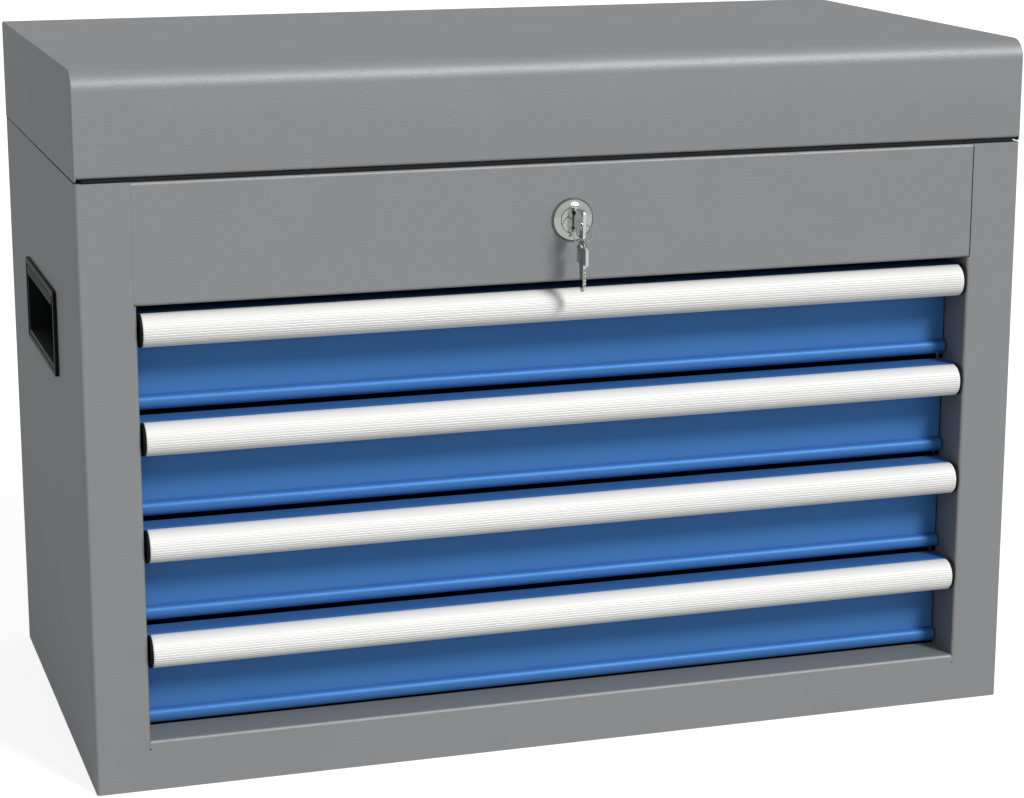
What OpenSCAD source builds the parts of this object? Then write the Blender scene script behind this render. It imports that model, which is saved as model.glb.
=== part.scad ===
// Portable steel tool box: a hinged lid over a top tray, and four drawers on ball slides.
// X is the width, Y the depth with the front towards -Y, and Z is up.
// The origin is the middle of the underside of the floor pan.

/* [Body] */
// Width over the side panels
body_w = 600; // [560:5:680]
// Depth from the front face to the back face
body_d = 318; // [316:1:360]
// Thickness of the body and lid sheet
sheet_t = 1.0; // [0.8:0.1:1.2]
// Inner radius of the folds in the sheet
fold_r = 1.0; // [0.6:0.1:1.6]
// Width of the stiles at the left and right of the front
stile_w = 33.4; // [32:0.2:40]
// Depth of the folded edge inside the drawer opening
return_d = 29.8; // [28.5:0.1:31]
// Height of the sill below the drawers
sill_h = 31.5; // [24:0.5:45]
// Height that the folded stile edge laps behind the sill
sill_lap = 6; // [4:1:10]
// Height of the fascia above the drawers
fascia_h = 72.8; // [70:0.2:90]
// Width of the inward hems round the open top and at the back
hem_w = 14; // [12:0.5:15]
// Width of the fascia tabs that lie behind the stiles
tab_w = 20; // [12:1:24]
// Width by which the fascia is wider than the drawer opening, on each side
fascia_over = 1.2; // [0.6:0.1:2]
// Open seam between two folded sheets
seam = 0.3; // [0.2:0.05:0.5]
// Height of the upstands of the floor pan
pan_upstand_h = 15; // [10:1:18]
// Height of the rear upstand of the tray floor
tray_upstand_h = 12; // [8:1:20]

/* [Lid] */
// Height of the lid
lid_h = 62.2; // [58:0.2:80]
// Open gap between the body and the front of the lid
lid_gap = 2.6; // [2.4:0.1:3.2]
// How far the ends of the lid reach down below its front
lid_end_drop = 1.8; // [1.4:0.1:2]
// Outer radius of the rolled front edge of the lid
lid_front_r = 12.4; // [8:0.1:24]
// Outer radius of the fold at the back edge of the lid
lid_back_r = 2.5; // [2:0.5:6]
// Width of the hems inside the two ends of the lid
lid_hem_w = 10; // [6:0.5:10]
// Width of the stiffener under the lid
stiffener_w = 60; // [44:2:80]
// Depth of the stiffener under the lid
stiffener_h = 12; // [8:1:16]
// Distance of the stiffener's ends from the ends of the lid
stiffener_inset = 45; // [40:1:80]
// Width of the rubber seal under the front of the lid
seal_w = 10; // [8:0.5:10]
// Distance of the seal from the front face
seal_inset = 0.8; // [0.4:0.1:1.2]
// Distance of the seal's ends from the side faces
seal_end = 4.5; // [3:0.5:8]

/* [Hinge] */
// Length of the piano hinge
hinge_len = 560; // [480:20:560]
// Length of one knuckle of the hinge
knuckle_len = 20; // [16:2:40]
// Outer radius of the knuckles
knuckle_r = 2.6; // [2.4:0.1:3]
// Thickness of the hinge leaves
leaf_t = 1.0; // [0.8:0.1:1.2]
// Height of each hinge leaf from the pin
leaf_h = 20; // [14:1:24]
// Gap between neighbouring knuckles
knuckle_gap = 0.4; // [0.3:0.1:0.8]

/* [Struts] */
// Distance from the hinge pin to both ends of each strut
strut_reach = 96; // [94:1:100]
// Angle of the lower strut end below the hinge pin
strut_low_angle = 41; // [39:0.5:41]
// Angle of the upper strut end above the hinge pin
strut_high_angle = 33; // [31:0.5:33]
// Distance of the strut's centre line from the side face
strut_inset = 23; // [22.5:0.5:26]
// Radius of the strut tube
strut_tube_r = 6; // [5.5:0.25:6]
// Wall of the strut tube
strut_tube_wall = 1.2; // [0.8:0.1:1.5]
// Length of the strut tube from its eye
strut_tube_len = 101; // [98:1:102]
// Radius of the strut rod
strut_rod_r = 3.2; // [3:0.1:3.6]
// Radius of the pins that hold the strut ends
strut_pin_r = 3; // [2.5:0.1:3.5]
// Width of the strut eyes
strut_eye_w = 8; // [6:0.5:9]
// Half height of the strut bracket plates
bracket_half = 7.5; // [6.5:0.5:8]
// Thickness of the strut bracket plates
bracket_t = 2; // [1.5:0.25:2.5]

/* [Lock] */
// Height of the lock above the bottom edge of the fascia
lock_rise = 38; // [36:0.5:39]
// Radius of the lock's collar on the fascia
lock_collar_r = 13.4; // [13:0.1:14]
// Radius of the domed face of the lock at its rim
lock_face_r = 12.5; // [11.5:0.1:12.8]
// Height of the domed face's rim above the fascia
lock_rim_h = 2.4; // [2:0.1:2.8]
// Height of the lock's face above the fascia
lock_face_t = 5.8; // [5:0.1:6]
// Radius of the lock barrel
lock_barrel_r = 10; // [10:0.1:10.6]
// Length of the lock barrel behind the face
lock_barrel_len = 16; // [15:0.5:16.5]
// Radius of the plug's round front
plug_face_r = 8.1; // [7.8:0.1:8.6]
// Depth of the plug's round front
plug_face_t = 1.6; // [1.2:0.1:1.8]
// Radius of the plug's shank
plug_r = 6.05; // [5.8:0.05:6.5]
// Height of the key slot
slot_h = 9; // [8.6:0.1:9.6]
// Thickness of the nut that holds the lock
lock_nut_t = 4; // [3:0.5:6]
// Width across the corners of the nut
lock_nut_w = 26; // [25:0.5:27]
// Length of the lock cam from the plug's axis
cam_len = 22; // [18:0.5:22]
// Width of the lock cam
cam_w = 9; // [8:0.5:9]
// Thickness of the lock cam
cam_t = 2; // [1.5:0.1:2.5]
// Width of the square stud that turns the cam
cam_stud_w = 4.9; // [4:0.1:5.5]
// Thickness of the lid catch
catch_t = 1.6; // [1.2:0.1:2]
// Width of the lid catch's bars
catch_bar_w = 7; // [5:0.5:9]
// Height of the lid catch's hook
catch_hook_h = 3.5; // [3:0.25:4]

/* [Keys] */
// Thickness of the keys
key_t = 2.0; // [1.6:0.1:2]
// Width of the keys' bows
bow_w = 17; // [16:0.5:17.5]
// Length of the keys' bows
bow_len = 14.6; // [14:0.2:16]
// Height of the keys' blades
blade_h = 8.2; // [7.6:0.1:8.4]
// Length of the keys' blades
blade_len = 17; // [15:0.2:17.6]
// Distance from the lock's face to the bow of the key in it
key_shoulder = 2.6; // [2:0.2:4]
// Radius of the hole in a key's bow
bow_hole_r = 1.6; // [1.5:0.05:1.7]
// Radius of the key ring at the middle of its wire
ring_r = 6.0; // [5.9:0.05:6.1]
// Radius of the key ring's wire
ring_wire_r = 0.35; // [0.3:0.05:0.4]
// Depth of the teeth cut in a key's blade
tooth_d = 1.4; // [0.8:0.1:1.6]

/* [Drawers] */
// Distance from one drawer to the next
drawer_pitch = 65.7; // [65:0.1:70]
// Height of a drawer front
front_h = 62.6; // [58:0.2:63]
// Gap above the top drawer front
top_gap = 5.7; // [4:0.1:8]
// Gap under the bottom drawer front
sill_gap = 1.8; // [1.2:0.1:6]
// Distance of the drawer fronts behind the front face
front_recess = 28; // [26:0.2:28.2]
// Gap between a drawer front and the stiles, on each side
front_side_gap = 1.3; // [1:0.1:2]
// Height of the roll along the foot of a drawer front
roll_h = 9.6; // [9.2:0.1:10.4]
// Distance that the roll stands out of a drawer front
roll_out = 4.6; // [4:0.1:4.7]
// Length of the return under a drawer front
foot_return = 12; // [8:0.5:16]
// Height of the flange that carries the grip
grip_flange_h = 16; // [10:0.5:18]
// Distance from the drawer front to the back of the box
box_len = 276; // [274:1:278]
// Height by which the drawer box is lower than the lip
box_drop = 9; // [6:0.5:14]
// Thickness of the rubber mats
mat_t = 1.5; // [1:0.25:3]
// Gap round the rubber mats
mat_gap = 1.5; // [0.5:0.25:4]

/* [Grips] */
// Radius of the grips' rounded front
grip_r = 10; // [9:0.25:10]
// Distance from the grip's centre to its flat back
grip_back = 2; // [1:0.25:4]
// Distance that the grips stand out of the front face
grip_proud = 3; // [1:0.25:5]
// Wall of the grips
grip_wall = 1.4; // [1:0.1:2]
// Thickness of the grips' end caps
cap_t = 1.6; // [1:0.1:2]
// Length of the end caps' plugs inside the grip
cap_plug_len = 6; // [4:1:10]
// Gap between a cap's plug and the grip
cap_fit = 0.1; // [0.05:0.05:0.2]

/* [Slides] */
// Thickness of a slide between the upright and the drawer box
slide_w = 12.7; // [12.5:0.1:13]
// Length of the slides
rail_len = 270; // [266:2:272]
// Travel of the drawers
travel = 200; // [180:5:206]
// Distance of the slides behind the drawer front
rail_setback = 3; // [2.4:0.2:4]
// Height of the slides' centre line below the lip
slide_drop = 35; // [33:0.5:37]
// Thickness of the rails
rail_t = 1.2; // [1:0.1:1.2]
// Height of the outer rails
outer_rail_h = 27; // [26.8:0.1:27.4]
// Height of the inner rails
inner_rail_h = 17; // [16.6:0.1:17.2]
// Depth of the outer rails
outer_rail_w = 9.8; // [9.2:0.1:10]
// Depth of the inner rails
inner_rail_w = 9; // [8.4:0.1:9]
// Radius of the balls
ball_r = 1.6; // [1.5:0.05:1.6]
// Thickness of the ball cages
cage_t = 0.6; // [0.4:0.1:0.8]
// Gap between a cage and the outer rail's web
cage_gap = 0.9; // [0.6:0.05:1]
// Depth of a cage's flanges
cage_w = 7.4; // [6.4:0.1:7.4]
// Number of balls in one row of a cage
balls_in_row = 3; // [2:1:5]
// Distance of the outer rails' backs inside the opening's edge
rail_inset = 0.3; // [0.1:0.1:0.6]

/* [Slide uprights] */
// Width of the uprights that carry the slides
upright_w = 30; // [24:1:34]
// Width of the uprights' feet on the side panel
upright_foot_w = 9; // [6:0.5:10]
// Distance of the front upright behind the slides' front ends
upright_front = 2; // [1:0.5:6]
// Distance of the rear upright before the slides' rear ends
upright_rear = 4; // [1:0.5:8]

/* [Side handles] */
// Width of the handle's rim
handle_w = 129; // [120:1:140]
// Height of the handle's rim
handle_h = 54.6; // [50:0.1:56]
// Distance of the handle's centre behind the middle of the body
handle_shift = 1.5; // [0:0.5:6]
// Height of the handle's centre above the floor
handle_z = 265.2; // [262:0.1:266]
// Distance that the rim stands out of the side panel
handle_proud = 2.4; // [1.5:0.1:3]
// Width of the rim at the handle's ends
handle_side_rim = 8; // [6:0.5:12]
// Width of the rim under the opening
handle_low_rim = 6.5; // [5:0.1:8]
// Width of the ribbed rim over the opening
handle_top_rim = 11.5; // [8.5:0.1:12]
// Depth of the hand recess from the side face
handle_depth = 26; // [20:0.5:26.5]
// Wall of the hand recess
handle_wall = 1.6; // [1.2:0.1:2]
// Radius of the rim's corners
handle_corner_r = 3; // [2:0.5:6]
// Gap between the hand recess and the cut-out in the panel
handle_fit = 0.4; // [0.3:0.1:0.8]
// Distance between the ribs on the upper rim
rib_pitch = 1.5; // [1:0.1:2]
// Depth of the grooves between the ribs
rib_d = 0.5; // [0.3:0.1:0.8]

/* [Hidden] */

// Count of drawers, and of flat steps in each fold
drawers = 4;
fold_steps = 6;
round_fn = 64;
// Running clearance of pins in their bores, and the clear gap of parts that pass each other
run_fit = 0.05;
pass_gap = 0.3;

// Colours of the finishes
body_grey = "#8a8c8e";
drawer_blue = "#3f6fad";
grip_white = "#f2f2ef";
black = "#161718";
zinc = "#b9bcc0";
chrome = "#c9cbcd";

// Places of the main faces
half_t = sheet_t / 2;
side_x = body_w / 2;
front_y = -body_d / 2;
back_y = body_d / 2;
wall_x = side_x - sheet_t;
open_x = side_x - stile_w;
fascia_x = open_x + fascia_over;
open_top = sill_h + sill_gap + (drawers - 1) * drawer_pitch + front_h + top_gap;
body_h = open_top + fascia_h;
hem_x = side_x - hem_w;
tray_z = open_top + sheet_t;

// Lid
lid_z = body_h + lid_gap;
lid_top = lid_z + lid_h;

// Hinge
pin_y = back_y + knuckle_r;
pin_z = body_h + lid_gap / 2;
bore_r = knuckle_r - leaf_t;
knuckles = 2 * floor(hinge_len / knuckle_len / 2);

// Struts
strut_x = side_x - strut_inset;
strut_low = [pin_y - strut_reach * cos(strut_low_angle), pin_z - strut_reach * sin(strut_low_angle)];
strut_high = [pin_y - strut_reach * cos(strut_high_angle), pin_z + strut_reach * sin(strut_high_angle)];
strut_line = strut_high - strut_low;
strut_len = norm(strut_line);
strut_tilt = atan2(-strut_line.x, strut_line.y);
eye_r = strut_pin_r + 3;
gland_len = 5;
piston_len = 6;
piston_start = eye_r + 5;
spacer_r = strut_pin_r + 1.6;
clip_t = 1.1;

// Lock
lock_z = open_top + lock_rise;
lock_front = front_y - lock_face_t;
plug_rim = 0.8;
barrel_end = front_y + lock_barrel_len;
cam_y = barrel_end + pass_gap;
stud_end = cam_y + cam_t + 1.5;
slot_w = key_t + 0.4;
hook_top = lock_z - cam_w / 2 - 1.2;
hook_x = 9;
catch_x = cam_len + 2;
catch_y = cam_y + (cam_t - catch_t) / 2;
notch_d = 6;

// Keys
bow_back = lock_front - key_shoulder;
blade_tip = bow_back + blade_len;
bow_front = bow_back - bow_len;
hole_edge = 0.7;
hole_y = bow_front + bow_hole_r + 1.8;
web_mid = (hole_edge + bow_w / 2) / 2;
ring_drop = 1.45;
ring_z = lock_z - web_mid - ring_drop;
spare_pivot_z = ring_z - ring_r;
spare_web = 2.4;
spare_hole_z = spare_pivot_z - bow_hole_r + ring_wire_r + 0.1;
spare_bow_top = spare_pivot_z + spare_web;
spare_bow_bottom = spare_bow_top - bow_len;

// Drawers: lip_z(n) is the top of drawer n, counted from the top
front_y0 = front_y + front_recess;
front_x = open_x - front_side_gap;
grip_centre_y = front_y - grip_proud + grip_r;
grip_back_y = grip_centre_y + grip_back;
lip_back = front_y0;
box_back = front_y0 + box_len;
rail_x = open_x - rail_inset;
box_x = rail_x - slide_w;
rail_y0 = front_y0 + rail_setback;
rail_y1 = rail_y0 + rail_len;
cage_y0 = rail_y0 + travel / 2;
cage_len = rail_len - travel;
ball_z = (outer_rail_h / 2 - rail_t + inner_rail_h / 2) / 2;
ball_x = (rail_x - outer_rail_w + box_x + inner_rail_w) / 2 + 0.5;
grip_x = front_x - cap_t;
function lip_z(n) = open_top - top_gap - (n - 1) * drawer_pitch;
function foot_z(n) = lip_z(n) - front_h;
function slide_z(n) = lip_z(n) - slide_drop;

// Side handles
cup_low = handle_z - handle_h / 2 + handle_low_rim;
cup_high = handle_z + handle_h / 2 - handle_top_rim;
cup_front = handle_shift - handle_w / 2 + handle_side_rim;
cup_back = handle_shift + handle_w / 2 - handle_side_rim;
rib_margin = 1.8;

// Outline of a folded strip of sheet: path is its middle line, radii the fold at each inner point
function unit(v) = v / norm(v);
function left_of(v) = [-v.y, v.x];
function turned(v, a) = [v.x * cos(a) - v.y * sin(a), v.x * sin(a) + v.y * cos(a)];
function turn(a, b) = atan2(a.x * b.y - a.y * b.x, a * b);
function fold_arc(p, a, b, r, off) =
    let (angle = turn(a, b), s = sign(angle), start = p - a * r * tan(abs(angle) / 2))
    let (centre = start + left_of(a) * s * r)
    [for (i = [0:fold_steps]) centre - turned(left_of(a) * s, angle * i / fold_steps) * (r - s * off)];
function edge_line(path, radii, off) =
    let (last = len(path) - 1, way = [for (i = [1:last]) unit(path[i] - path[i - 1])])
    concat(
        [path[0] + left_of(way[0]) * off],
        [for (i = [1:last - 1]) each fold_arc(path[i], way[i - 1], way[i], radii[i - 1], off)],
        [path[last] + left_of(way[last - 1]) * off]);
function reversed(v) = [for (i = [len(v) - 1:-1:0]) v[i]];
module folded(path, radii, t = sheet_t) {
    polygon(concat(edge_line(path, radii, t / 2), reversed(edge_line(path, radii, -t / 2))));
}
function same(value, count) = [for (i = [1:count]) value];
fold_mid = fold_r + half_t;

// Solids that run along one axis between two places
module span_x(x0, x1) translate([x0, 0, 0]) rotate([90, 0, 90]) linear_extrude(x1 - x0) children();
module span_y(y0, y1) translate([0, y1, 0]) rotate([90, 0, 0]) linear_extrude(y1 - y0) children();
module span_z(z0, z1) translate([0, 0, z0]) linear_extrude(z1 - z0) children();
module block(low, high) translate(low) cube(high - low);
module rod_y(r, y0, y1, x, z) {
    translate([x, y1, z]) rotate([90, 0, 0]) cylinder(r = r, h = y1 - y0, $fn = round_fn);
}
module rod_x(r, x0, x1, y, z) {
    translate([x0, y, z]) rotate([0, 90, 0]) cylinder(r = r, h = x1 - x0, $fn = round_fn);
}
module both_sides() {
    children();
    mirror([1, 0, 0]) children();
}
module rounded_plate(low, high, r) {
    translate([low.x + r, low.y]) square([high.x - low.x - 2 * r, high.y - low.y]);
    translate([low.x, low.y + r]) square([high.x - low.x, high.y - low.y - 2 * r]);
    for (x = [low.x + r, high.x - r], y = [low.y + r, high.y - r]) translate([x, y]) circle(r, $fn = 32);
}

// Body: side panel with its stile, drawn for the right side
module side_panel() {
    rear = [hem_x, back_y - 1.5 * sheet_t];
    rear_corner = [side_x - half_t, rear.y];
    front_corner = [side_x - half_t, front_y + half_t];
    stile_edge = [open_x + half_t, front_y + half_t];
    difference() {
        union() {
            span_z(0, sill_h - sill_lap)
                folded([rear, rear_corner, front_corner, [open_x, stile_edge.y]], same(fold_mid, 2));
            span_z(sill_h - sill_lap, open_top)
                folded([rear, rear_corner, front_corner, stile_edge, [stile_edge.x, front_y + return_d]],
                    same(fold_mid, 3));
            span_z(open_top, body_h)
                folded([rear, rear_corner, front_corner, [fascia_x + seam, stile_edge.y]], same(fold_mid, 2));
            block([hem_x, front_y + 2 * sheet_t + seam, body_h - sheet_t],
                [side_x - half_t, back_y - sheet_t - fold_mid, body_h]);
        }
        block([wall_x - seam, cup_front - handle_wall - handle_fit, cup_low - handle_wall - handle_fit],
            [side_x + seam, cup_back + handle_wall + handle_fit, cup_high + handle_wall + handle_fit]);
    }
}
module left_side_panel() color(body_grey) mirror([1, 0, 0]) side_panel();
module right_side_panel() color(body_grey) side_panel();

// Body: sill between the stiles
module front_sill() color(body_grey) span_x(-open_x, open_x) folded([
        [front_y + half_t, 0],
        [front_y + half_t, sill_h - half_t],
        [front_y + return_d - half_t, sill_h - half_t],
        [front_y + return_d - half_t, sill_h - sill_lap]
    ], same(fold_mid, 2));

// Body: a sheet that fills the plan inside the walls, notched round the rear hems
module inside_plan(front_edge) {
    translate([-wall_x, front_edge]) square([2 * wall_x, back_y - 2 * sheet_t - front_edge]);
    translate([-hem_x + seam, front_edge]) square([2 * (hem_x - seam), back_y - sheet_t - front_edge]);
}
module floor_pan() color(body_grey) {
    span_z(0, sheet_t) inside_plan(front_y + sheet_t);
    block([-open_x, front_y + sheet_t, 0], [open_x, front_y + 2 * sheet_t, pan_upstand_h]);
    block([-hem_x + seam, back_y - 2 * sheet_t, 0], [hem_x - seam, back_y - sheet_t, pan_upstand_h]);
}

// Body: back panel with a hem along its top
module back_panel() color(body_grey) {
    block([-side_x + seam, back_y - sheet_t, 0], [side_x - seam, back_y, body_h]);
    block([-hem_x + seam, back_y - hem_w, body_h - sheet_t], [hem_x - seam, back_y - half_t, body_h]);
}

// Body: fascia over the drawers, with tabs behind the stiles and a notch for the lid catch
module fascia() color(body_grey) difference() {
    union() {
        span_x(-fascia_x, fascia_x) folded([
                [front_y + return_d, open_top + half_t],
                [front_y + half_t, open_top + half_t],
                [front_y + half_t, body_h - half_t],
                [front_y + hem_w, body_h - half_t]
            ], same(fold_mid, 2));
        both_sides() block([fascia_x - tab_w / 2, front_y + sheet_t, open_top + 2 * sheet_t + fold_r],
            [fascia_x + tab_w / 2, front_y + 2 * sheet_t, body_h - half_t]);
        both_sides() block([fascia_x - tab_w / 2, front_y + sheet_t + fold_r, body_h - sheet_t],
            [hem_x - seam, front_y + hem_w, body_h]);
        both_sides() block([fascia_x, front_y + sheet_t, body_h - sheet_t],
            [fascia_x + tab_w / 2, front_y + hem_w, body_h]);
    }
    rod_y(lock_barrel_r + run_fit, front_y - seam, front_y + sheet_t + seam, 0, lock_z);
    block([0, front_y + hem_w - notch_d, body_h - 2 * sheet_t],
        [catch_x + catch_bar_w + 3, front_y + hem_w + seam, body_h + seam]);
}

// Tray over the drawers, with its mat
module tray_floor() color(body_grey) {
    span_z(tray_z, tray_z + sheet_t) inside_plan(front_y + 2 * sheet_t);
    block([-hem_x + seam, back_y - 2 * sheet_t, tray_z],
        [hem_x - seam, back_y - sheet_t, tray_z + tray_upstand_h]);
}
module tray_mat() color(black) block(
    [-wall_x + bracket_t + mat_gap, front_y + 2 * sheet_t + mat_gap, tray_z + sheet_t],
    [wall_x - bracket_t - mat_gap, back_y - 2 * sheet_t - mat_gap, tray_z + sheet_t + mat_t]);

// Uprights between the floor pan and the tray, which carry the outer rails
module upright(y0) {
    y1 = y0 + upright_w;
    foot = wall_x - half_t;
    face = rail_x + half_t;
    span_z(sheet_t, tray_z) folded([
            [foot, y0 - upright_foot_w], [foot, y0 + half_t], [face, y0 + half_t],
            [face, y1 - half_t], [foot, y1 - half_t], [foot, y1 + upright_foot_w]
        ], same(fold_mid, 4));
}
module slide_uprights() color(zinc) both_sides() {
    upright(rail_y0 + upright_front + upright_foot_w / 2);
    upright(rail_y1 - upright_rear - upright_w);
}

// Slides: outer rails on the uprights, inner rails on the drawer boxes, balls in cages between
module rail(back, depth, height, z) {
    tip = back + depth;
    mid = back + sign(depth) * rail_t / 2;
    reach = height / 2 - rail_t / 2;
    folded([[tip, z + reach], [mid, z + reach], [mid, z - reach], [tip, z - reach]],
        same(rail_t, 2), rail_t);
}
module slide_outer_rails() color(zinc) both_sides() for (n = [1:drawers])
    span_y(rail_y0, rail_y1) rail(rail_x, -outer_rail_w, outer_rail_h, slide_z(n));
module drawer_inner_rails(n) color(zinc) both_sides()
    span_y(rail_y0, rail_y1) rail(box_x, inner_rail_w, inner_rail_h, slide_z(n));
module drawer_ball_cages(n) color(zinc) both_sides() {
    web = rail_x - rail_t - cage_gap - cage_t / 2;
    z = slide_z(n);
    span_y(cage_y0, cage_y0 + cage_len)
        folded([[web - cage_w, z + ball_z], [web, z + ball_z], [web, z - ball_z], [web - cage_w, z - ball_z]],
            same(cage_t, 2), cage_t);
    for (i = [0:balls_in_row - 1], side = [-1, 1])
        translate([ball_x, cage_y0 + cage_len * (i + 0.5) / balls_in_row, z + side * ball_z])
            sphere(ball_r, $fn = 32);
}

// Drawer: front with its lip, grip flange and foot roll
module drawer_front(n) color(drawer_blue) {
    top = lip_z(n) - half_t;
    foot = foot_z(n) + half_t;
    span_x(-front_x, front_x) folded([
            [front_y0 + foot_return, foot],
            [front_y0 - roll_out + half_t, foot],
            [front_y0 - roll_out + half_t, foot + roll_h - sheet_t],
            [front_y0 + half_t, foot + roll_h - sheet_t],
            [front_y0 + half_t, top],
            [grip_back_y + half_t, top],
            [grip_back_y + half_t, lip_z(n) - grip_flange_h]
        ], [roll_out - half_t - 0.2, roll_out - half_t - 0.2, half_t + 0.1, fold_mid, fold_mid]);
}

// Drawer: folded box behind the front, with its mat
module drawer_box(n) color(zinc) difference() {
    block([-box_x, front_y0 + sheet_t, foot_z(n) + sheet_t], [box_x, box_back, lip_z(n) - box_drop]);
    block([-box_x + sheet_t, front_y0 + 2 * sheet_t, foot_z(n) + 2 * sheet_t],
        [box_x - sheet_t, box_back - sheet_t, lip_z(n)]);
}
module drawer_mat(n) color(black) block(
    [-box_x + sheet_t + mat_gap, front_y0 + 2 * sheet_t + mat_gap, foot_z(n) + 2 * sheet_t],
    [box_x - sheet_t - mat_gap, box_back - sheet_t - mat_gap, foot_z(n) + 2 * sheet_t + mat_t]);

// Drawer: hollow grip with a rounded front, and its two end caps
module grip_outline(n, inset) intersection() {
    translate([grip_centre_y, lip_z(n) - grip_r]) circle(grip_r - inset, $fn = 96);
    translate([grip_centre_y - 2 * grip_r, lip_z(n) - 3 * grip_r])
        square([2 * grip_r + grip_back - inset, 4 * grip_r]);
}
module drawer_grip(n) color(grip_white) span_x(-grip_x, grip_x) difference() {
    grip_outline(n, 0);
    grip_outline(n, grip_wall);
}
module drawer_grip_caps(n) color(black) both_sides() {
    span_x(grip_x, front_x) grip_outline(n, 0);
    span_x(grip_x - cap_plug_len, grip_x) grip_outline(n, grip_wall + cap_fit);
}

// Side handle, drawn for the right side: a rim on the panel and a recess for the hand
module side_handle() {
    rim_low = [handle_shift - handle_w / 2, handle_z - handle_h / 2];
    rim_high = [handle_shift + handle_w / 2, handle_z + handle_h / 2];
    face = side_x + handle_proud;
    ribs = floor((handle_top_rim - 2 * rib_margin) / rib_pitch);
    difference() {
        union() {
            span_x(side_x, face) rounded_plate(rim_low, rim_high, handle_corner_r);
            block([side_x - handle_depth, cup_front - handle_wall, cup_low - handle_wall],
                [face - half_t, cup_back + handle_wall, cup_high + handle_wall]);
        }
        block([side_x - handle_depth + handle_wall, cup_front, cup_low], [face + seam, cup_back, cup_high]);
        for (i = [0:ribs])
            block([face - rib_d, cup_front, cup_high + rib_margin / 2 + i * rib_pitch],
                [face + seam, cup_back, cup_high + rib_margin / 2 + (i + 0.5) * rib_pitch]);
        block([face - rib_d, cup_front, cup_low - handle_low_rim / 2 - rib_d],
            [face + seam, cup_back, cup_low - handle_low_rim / 2 + rib_d]);
    }
}
module left_handle() color(black) mirror([1, 0, 0]) side_handle();
module right_handle() color(black) side_handle();

// Rubber seal on the fascia, under the front of the lid
module lid_seal() color(black) span_x(-side_x + seal_end, side_x - seal_end)
    rounded_plate([front_y + seal_inset, body_h], [front_y + seal_inset + seal_w, lid_z - pass_gap], 0.6);

// Piano hinge: knuckles of the two leaves alternate along the pin
module leaf(up) {
    x0 = -knuckles * knuckle_len / 2;
    low = up ? knuckle_r + knuckle_gap : -leaf_h;
    difference() {
        union() {
            block([x0, back_y, pin_z + low], [-x0, back_y + leaf_t, pin_z + low + leaf_h - knuckle_r - knuckle_gap]);
            for (i = [up ? 1 : 0:2:knuckles - 1]) {
                start = x0 + i * knuckle_len + knuckle_gap / 2;
                end = start + knuckle_len - knuckle_gap;
                rod_x(knuckle_r, start, end, pin_y, pin_z);
                block([start, back_y, pin_z - (up ? 0 : leaf_h / 2)],
                    [end, back_y + leaf_t, pin_z + (up ? leaf_h / 2 : 0)]);
            }
        }
        rod_x(bore_r, x0 - seam, -x0 + seam, pin_y, pin_z);
    }
}
module hinge_body_leaf() color(zinc) leaf(false);
module hinge_lid_leaf() color(zinc) leaf(true);
module hinge_pin() color(zinc)
    rod_x(bore_r - run_fit, -knuckles * knuckle_len / 2, knuckles * knuckle_len / 2, pin_y, pin_z);

// Lid: pressed shell with flat ends, a rolled front edge and hems inside
lid_path = [
    [front_y + hem_w, lid_z + half_t],
    [front_y + half_t, lid_z + half_t],
    [front_y + half_t, lid_top - half_t],
    [back_y - half_t, lid_top - half_t],
    [back_y - half_t, lid_z]
];
lid_radii = [fold_mid, lid_front_r - half_t, lid_back_r - half_t];
lid_end_path = [for (p = lid_path) p.y < lid_z + sheet_t ? p - [0, lid_end_drop] : p];
module lid_shell() color(body_grey) {
    span_x(-wall_x, wall_x) folded(lid_path, lid_radii);
    both_sides() span_x(wall_x, side_x) polygon(edge_line(lid_end_path, lid_radii, half_t));
    both_sides() block([side_x - lid_hem_w, front_y + sheet_t + fold_r, lid_z],
        [side_x - half_t, back_y - half_t, lid_z + sheet_t]);
}
module lid_stiffener() color(zinc) {
    top = lid_top - sheet_t - half_t;
    mid = (lid_front_r - lid_back_r) / 2;
    foot = stiffener_w / 4;
    span_x(-side_x + stiffener_inset, side_x - stiffener_inset) folded([
            [mid - stiffener_w / 2, top], [mid - foot, top], [mid - foot, top - stiffener_h],
            [mid + foot, top - stiffener_h], [mid + foot, top], [mid + stiffener_w / 2, top]
        ], same(fold_mid, 4));
}

// Lid catch: a hook that the lock cam turns over
module lid_catch() color(zinc) {
    seat = lid_z + sheet_t;
    span_y(catch_y, catch_y + catch_t) {
        translate([catch_x, hook_top - catch_hook_h])
            square([catch_bar_w, seat + catch_t - hook_top + catch_hook_h]);
        translate([hook_x, hook_top - catch_hook_h])
            square([catch_x + catch_bar_w - hook_x, catch_hook_h]);
    }
    block([hook_x, front_y + sheet_t + fold_r, seat],
        [catch_x + 2 * catch_bar_w, catch_y + catch_t, seat + catch_t]);
}

// Struts: each tube turns on the body, each rod on the lid, and the rod slides in the tube
module strut_bracket(p) both_sides() {
    block([wall_x - bracket_t, p.x - 1.5 * bracket_half, p.y - bracket_half],
        [wall_x, p.x + 1.5 * bracket_half, p.y + bracket_half]);
    rod_x(spacer_r, strut_x + strut_eye_w / 2 + pass_gap, wall_x - half_t, p.x, p.y);
    rod_x(strut_pin_r, strut_x - strut_eye_w / 2 - pass_gap - clip_t, wall_x - half_t, p.x, p.y);
    rod_x(spacer_r, strut_x - strut_eye_w / 2 - pass_gap - clip_t, strut_x - strut_eye_w / 2 - pass_gap,
        p.x, p.y);
}
module strut_body_brackets() color(zinc) strut_bracket(strut_low);
module strut_lid_brackets() color(zinc) strut_bracket(strut_high);
module along_strut(p, flip) translate([strut_x, p.x, p.y]) rotate([strut_tilt + (flip ? 180 : 0), 0, 0])
    children();
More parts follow.
